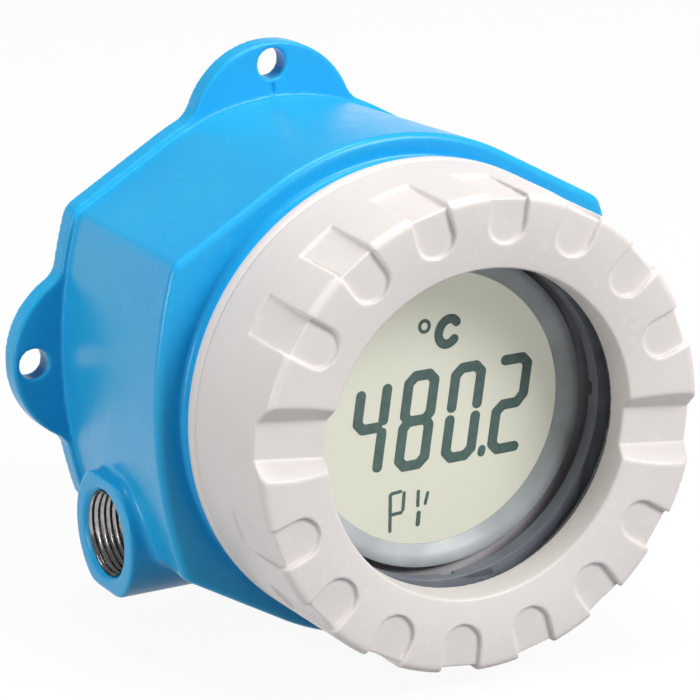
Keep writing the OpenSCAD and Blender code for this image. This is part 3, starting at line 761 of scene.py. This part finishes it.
def pocket_field(x, up, out, angle):
    a = math.radians(angle)
    u = x * math.cos(a) + up * math.sin(a)
    v = np.abs(up * math.cos(a) - x * math.sin(a))
    along = (out - POCKET_START) / (COVER_FRONT - POCKET_START)
    floor_r = POCKET_START_R + (POCKET_FRONT_R - POCKET_START_R) * along
    side = both(both(v - POCKET_HALF_W, POCKET_START - out), floor_r - u)
    end = POCKET_END_R + POCKET_HALF_W
    slot = np.hypot(np.minimum(u - end, 0), v) - POCKET_HALF_W
    face = both(both(slot, COVER_FRONT - POCKET_FACE_DEPTH - out), POCKET_END_R - 2 - u)
    return np.minimum(side, face)


def notch_field(up, out):
    run = (NOTCH_TOP_W - NOTCH_FLOOR_W) / 2
    rise = out - COVER_FRONT + NOTCH_DEPTH
    slope = ((np.abs(up) - NOTCH_FLOOR_W / 2) * NOTCH_DEPTH - rise * run) / math.hypot(NOTCH_DEPTH, run)
    return both(slope, -rise)


def cover_skin():
    step = (0.4, 0.4, 0.4)
    low = (-COVER_R - 1.1, -COVER_R - 1.1, RIM_GROOVE_AT - 1)
    high = (COVER_R + 1.1, COVER_R + 1.1, COVER_FRONT + 1)
    x, up, out = grid(low, high, step)
    field = cover_field(x, up, out)
    front = out.ravel() > POCKET_START - 2
    half = (POCKETS_PER_HALF - 1) // 2
    part = field[:, :, front]
    for side in (90, 270):
        for k in range(-half, half + 1):
            pocket = pocket_field(x, up, out[:, :, front], side + k * POCKET_PITCH)
            part = both(part, -pocket, EDGE_R)
    field[:, :, front] = both(part, -notch_field(up, out[:, :, front]), EDGE_R)
    piece = skin("cover_casting", field, low, step, "cover_body", GREY, COVER_TURN)
    rim = [(SEAL_BORE_R, COVER_REAR), (COVER_R - 0.4, COVER_REAR), (COVER_R - 0.1, COVER_REAR + 0.1),
           (COVER_R, COVER_REAR + 0.4), (COVER_R, RIM_GROOVE_AT - RIM_GROOVE),
           (COVER_R - RIM_GROOVE, RIM_GROOVE_AT), (THREAD_BORE_R + 0.9, RIM_GROOVE_AT),
           (THREAD_BORE_R + 0.9, COVER_REAR + SEAL_BORE_LEN), (SEAL_BORE_R, COVER_REAR + SEAL_BORE_LEN)]
    rim_piece = lathe("cover_rim", rim, "cover_body", GREY, 360, closed=True)
    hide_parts("cover")
    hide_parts("cover")


def cover_details():
    thread("cover_thread", THREAD_BORE_R, -COVER_THREAD, COVER_REAR + SEAL_BORE_LEN + 0.3, 14, COVER_PITCH,
           "cover_body", THREAD_STEEL)


# Display


def display_skirt():
    """The flat rim round the bezel that hides the room behind the display."""
    inner, rear, chamfer = BEZEL_R - 0.1, SKIRT_OUT - SKIRT_T, 0.4
    profile = [(inner, rear), (SKIRT_R, rear), (SKIRT_R, SKIRT_OUT - chamfer), (SKIRT_R - chamfer, SKIRT_OUT),
               (inner, SKIRT_OUT)]
    lathe("display_skirt", profile, "display_body", SKIRT_GREY, closed=True)


def slanted(points, centre_x):
    return [(centre_x + x + (up - DIGIT_UP) * DIGIT_SLANT, up) for x, up in points]


def digit_paths(digit):
    """Paths of one digit, with cut corners and the gaps between its bars."""
    top, mid, low = DIGIT_UP + DIGIT_H / 2, DIGIT_UP, DIGIT_UP - DIGIT_H / 2
    w, bend, gap = DIGIT_W / 2, 1.5, 1.45
    arch = [(-w, mid + gap), (-w, top - bend), (-w + bend, top), (w - bend, top), (w, top - bend),
            (w, mid + gap)]
    cup = [(x, 2 * mid - up) for x, up in arch]
    loop = arch + [(w - 1.2, mid), (-w + 1.2, mid), arch[0]]
    lower_loop = [(x, 2 * mid - up) for x, up in loop]
    paths = {
        "0": [arch, cup],
        "8": [loop, lower_loop],
        "4": [[(-w, top - 2.4), (-w, mid + bend), (-w + bend, mid), (w - 1.3, mid)],
              [(w, top - 1.8), (w, mid + gap)], [(w, mid - gap), (w, low + 1)]],
        "2": [[(-w + 0.6, top), (w - bend, top), (w, top - bend), (w, mid + bend + 0.4), (w - bend, mid),
               (-w + bend, mid), (-w, mid - bend), (-w, low + bend), (-w + bend, low), (w - 0.6, low)]],
    }
    return paths[digit]


def display_paths():
    """All dark marks of the display as (points, width)."""
    marks = []
    for k, digit in enumerate("4802"):
        centre = 1.75 + (k - 1.5) * DIGIT_PITCH
        marks += [(slanted(path, centre), STROKE) for path in digit_paths(digit)]
    dot = slanted([(0, DIGIT_UP - DIGIT_H / 2 - 0.1), (0.1, DIGIT_UP - DIGIT_H / 2 + 0.7)], 13.8)
    marks.append((dot, 1.9))
    turn = [2 * math.pi * i / 24 for i in range(25)]
    marks.append(([(-1.9 + 1.2 * math.cos(a), 19.4 + 1.3 * math.sin(a)) for a in turn], 0.85))
    bend = [(4.1 + 2.4 * math.cos(math.radians(a)), 17.3 + 2.9 * math.sin(math.radians(a)))
            for a in range(42, 319, 12)]
    marks.append(([(x + (up - 17.3) * DIGIT_SLANT, up) for x, up in bend], 2.2))
    for points, width in (([(-11.2, -18.6), (-11.5, -27)], 0.85), ([(-10.9, -18.3), (-8.6, -18.1)], 0.85),
                          ([(-7.7, -18.6), (-8.1, -22.5)], 0.85), ([(-8.6, -23.1), (-11, -23.2)], 0.85),
                          ([(-4.1, -18.9), (-4.3, -22.2)], 0.85), ([(-1.7, -19.6), (-2.4, -22)], 0.8),
                          ([(-4.1, -24), (-4.4, -26.6)], 1.1)):
        marks.append((points, width))
    return marks


def display_marks():
    step = (0.12, 0.12, 0.06)
    low = (-26, -29, LCD_OUT - 0.05)
    x, up, out = grid(low, (28, 23, LCD_OUT + 0.25), step)
    flat = np.full((x.shape[0], up.shape[1], 1), 50, np.float32)
    for points, width in display_paths():
        for (ax, ay), (bx, by) in zip(points, points[1:]):
            dx, dy = bx - ax, by - ay
            share = np.clip(((x - ax) * dx + (up - ay) * dy) / (dx * dx + dy * dy), 0, 1)
            flat = np.minimum(flat, np.hypot(x - ax - share * dx, up - ay - share * dy) - width / 2)
    field = both(flat, np.abs(out - LCD_OUT - 0.08) - 0.06)
    skin("display_segments", field, low, step, "display_body", SEGMENT)


housing_skin()
housing_details()
cover_skin()
cover_details()
display_skirt()
display_marks()
for soft_node, soft_width in SOFT_EDGES.items():
    softened(soft_node, soft_width)


# Stage, lights and camera


def floor():
    """A wide pale floor that curves up all round, so that every side of the object has it behind."""
    low = cad_box[0][2] - 0.0005
    bend, reach, height, steps = 0.5, 4.0, 1.0, 72
    section = [(0.4, low), (1.5, low), (reach - bend, low)]
    section += [(reach - bend + bend * math.sin(a), low + bend * (1 - math.cos(a)))
                for a in [math.pi / 2 * i / 12 for i in range(1, 13)]]
    section.append((reach, low + height))
    rings = [[(r * math.cos(2 * math.pi * i / steps), r * math.sin(2 * math.pi * i / steps), z)
              for i in range(steps)] for r, z in section]
    verts, faces = loft(rings)
    faces.append(tuple(range(steps)))
    mesh = bpy.data.meshes.new("floor")
    mesh.from_pydata(verts, [], faces)
    obj = bpy.data.objects.new("floor", mesh)
    bpy.context.scene.collection.objects.link(obj)
    clean(obj)
    for polygon in mesh.polygons:
        polygon.use_smooth = True
    mesh.materials.append(floor_look())


def floor_look():
    look = Look("pale_floor", (236, 236, 236), 0.9)
    look.tint(look.noise(300, 1), (239, 239, 239))
    dim = look.nodes.new("ShaderNodeBsdfDiffuse")
    dim.inputs["Color"].default_value = linear((150, 150, 152))
    glow = look.nodes.new("ShaderNodeEmission")
    glow.inputs["Strength"].default_value = 1.0
    glow.inputs["Color"].default_value = (1, 1, 1, 1)
    path = look.nodes.new("ShaderNodeLightPath")
    mix = look.nodes.new("ShaderNodeMixShader")
    seen = path.outputs["Is Camera Ray"]
    for ray in ("Is Glossy Ray", "Is Transmission Ray"):
        seen = look.calculate("MAXIMUM", seen, path.outputs[ray])
    look.links.new(seen, mix.inputs["Fac"])
    look.links.new(dim.outputs["BSDF"], mix.inputs[1])
    half = look.nodes.new("ShaderNodeMixShader")
    half.inputs["Fac"].default_value = FLOOR_GLOW
    look.links.new(look.shader.outputs["BSDF"], half.inputs[1])
    look.links.new(glow.outputs["Emission"], half.inputs[2])
    look.links.new(half.outputs["Shader"], mix.inputs[2])
    look.links.new(mix.outputs["Shader"], look.nodes["Material Output"].inputs["Surface"])
    return look.material


def world():
    scene_world = bpy.data.worlds.new("studio")
    scene_world.use_nodes = True
    background = scene_world.node_tree.nodes["Background"]
    background.inputs["Color"].default_value = (1, 1, 1, 1)
    background.inputs["Strength"].default_value = WORLD_LIGHT
    bpy.context.scene.world = scene_world


def area_light(name, where, target, size, power):
    data = bpy.data.lights.new(name, "AREA")
    data.shape = "RECTANGLE"
    data.size, data.size_y = size
    data.energy = power
    obj = bpy.data.objects.new(name, data)
    bpy.context.scene.collection.objects.link(obj)
    obj.location = where
    direction = Vector(target) - Vector(where)
    obj.rotation_euler = direction.to_track_quat("-Z", "Y").to_euler()


def camera():
    a, e, roll = (math.radians(v) for v in (CAMERA_AZIMUTH, CAMERA_ELEVATION, CAMERA_ROLL))
    back = Vector((math.sin(a) * math.cos(e), -math.cos(a) * math.cos(e), math.sin(e)))
    right = Vector((math.cos(a), math.sin(a), 0))
    up = back.cross(right)
    right, up = (right * math.cos(roll) + up * math.sin(roll), up * math.cos(roll) - right * math.sin(roll))
    spot = right * CAMERA_SHIFT[0] + up * CAMERA_SHIFT[1] + back * CAMERA_DISTANCE
    spot -= Vector((0, CAMERA_AIM_OUT, 0))
    data = bpy.data.cameras.new("camera")
    data.sensor_width = SENSOR
    data.lens = FOCAL_PIXELS / PHOTO_PIXELS * SENSOR
    data.clip_end = 20
    obj = bpy.data.objects.new("camera", data)
    bpy.context.scene.collection.objects.link(obj)
    turn = Matrix((right, up, back)).transposed().to_4x4()
    obj.matrix_world = Matrix.Translation(spot * MM) @ turn
    bpy.context.scene.camera = obj


floor()
world()
area_light("top", (0, -0.02, 1.0), (0, -0.02, 0), (0.5, 0.5), 6.2)
area_light("key", (0.6, -1.12, 0.9), (0, -0.07, 0), (0.7, 0.7), 21.5)
area_light("left_fill", (-1.1, -0.15, 0.12), (0, -0.03, 0), (0.3, 0.3), 5.0)
camera()
bpy.context.scene.view_settings.view_transform = "Standard"
